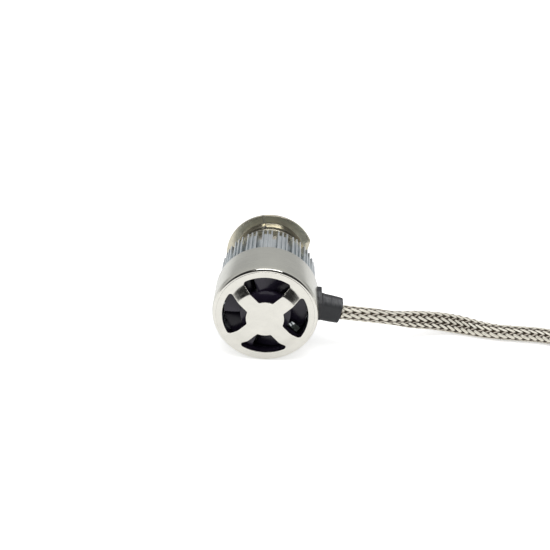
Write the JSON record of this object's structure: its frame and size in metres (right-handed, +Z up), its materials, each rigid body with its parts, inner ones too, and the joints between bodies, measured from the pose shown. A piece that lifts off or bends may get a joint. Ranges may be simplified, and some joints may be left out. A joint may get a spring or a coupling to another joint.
{
  "type": "fan-cooled LED lamp bulb",
  "caption": "LED lamp bulb with a fan-cooled finned body, a turning flanged collar, an LED head and a braided cord ending in a plug.",
  "frame": {"origin": "on the lamp axis in the seat plane, the collar flange's face towards the LED head", "axes": "+Y along the lamp axis from the fan to the LED head, +X the side the cable leaves, +Z up as the lamp lies on its sleeve"},
  "size_m": [0.2286, 0.0932, 0.036],
  "materials": {
    "guard_chrome": "polished",
    "sleeve_metal": "satin",
    "fan_plastic": "glossy",
    "bearing_bronze": "satin",
    "steel": "satin",
    "stator_steel": "matte",
    "coil_copper": "satin",
    "circuit_board": "satin",
    "magnet": "matte",
    "component_black": "matte",
    "fin_aluminium": "satin",
    "core_brass": "polished",
    "collar_metal": "satin",
    "seal_rubber": "matte",
    "post_copper": "satin",
    "led_ceramic": "matte",
    "phosphor": "matte",
    "cover_glass": "clear",
    "gland_rubber": "satin",
    "jacket_black": "matte",
    "lead_insulation": "satin",
    "metal_braid": "braided",
    "shrink_black": "satin",
    "connector_plastic": "satin",
    "lock_orange": "satin",
    "connector_seal": "satin",
    "terminal_brass": "polished"
  },
  "bodies": {
    "lamp": {"fan_guard": "guard_chrome", "housing_sleeve": "sleeve_metal", "fan_frame": "fan_plastic", "bearing_sleeve": "bearing_bronze", "bearing_cap": "steel", "stator_core": "stator_steel", "stator_coils": "coil_copper", "motor_board": "circuit_board", "driver_board": "circuit_board", "driver_components": "component_black", "board_screws": "steel", "heat_sink": "fin_aluminium", "thermal_core": "core_brass", "retaining_ring": "steel", "led_post": "post_copper", "post_screws": "steel", "led_board_upper": "led_ceramic", "led_board_lower": "led_ceramic", "led_chips": "phosphor", "glass_cover": "cover_glass", "cable_gland": "gland_rubber", "inner_cable": "jacket_black", "crimp_ring": "steel", "power_leads": "lead_insulation", "fan_leads": "lead_insulation", "led_leads": "lead_insulation", "cord_run": "metal_braid", "cord_coil": "metal_braid", "heat_shrink_boot": "shrink_black", "connector_shell": "connector_plastic", "connector_lock": "lock_orange", "connector_seal": "connector_seal", "connector_terminals": "terminal_brass"},
    "rotor": {"impeller": "fan_plastic", "rotor_yoke": "steel", "rotor_magnet": "magnet", "rotor_shaft": "steel", "shaft_clip": "steel"},
    "collar": {"locking_collar": "collar_metal", "set_screw": "steel", "face_seal": "seal_rubber"}
  },
  "joints": [
    {"name": "fan_spin", "type": "hinge", "parent": "lamp", "child": "rotor", "pos_m": [0, -0.0437, 0], "axis": [0, 1, 0], "continuous": true},
    {"name": "collar_turn", "type": "hinge", "parent": "lamp", "child": "collar", "pos_m": [0, -0.002, 0], "axis": [0, 1, 0], "continuous": true}
  ]
}
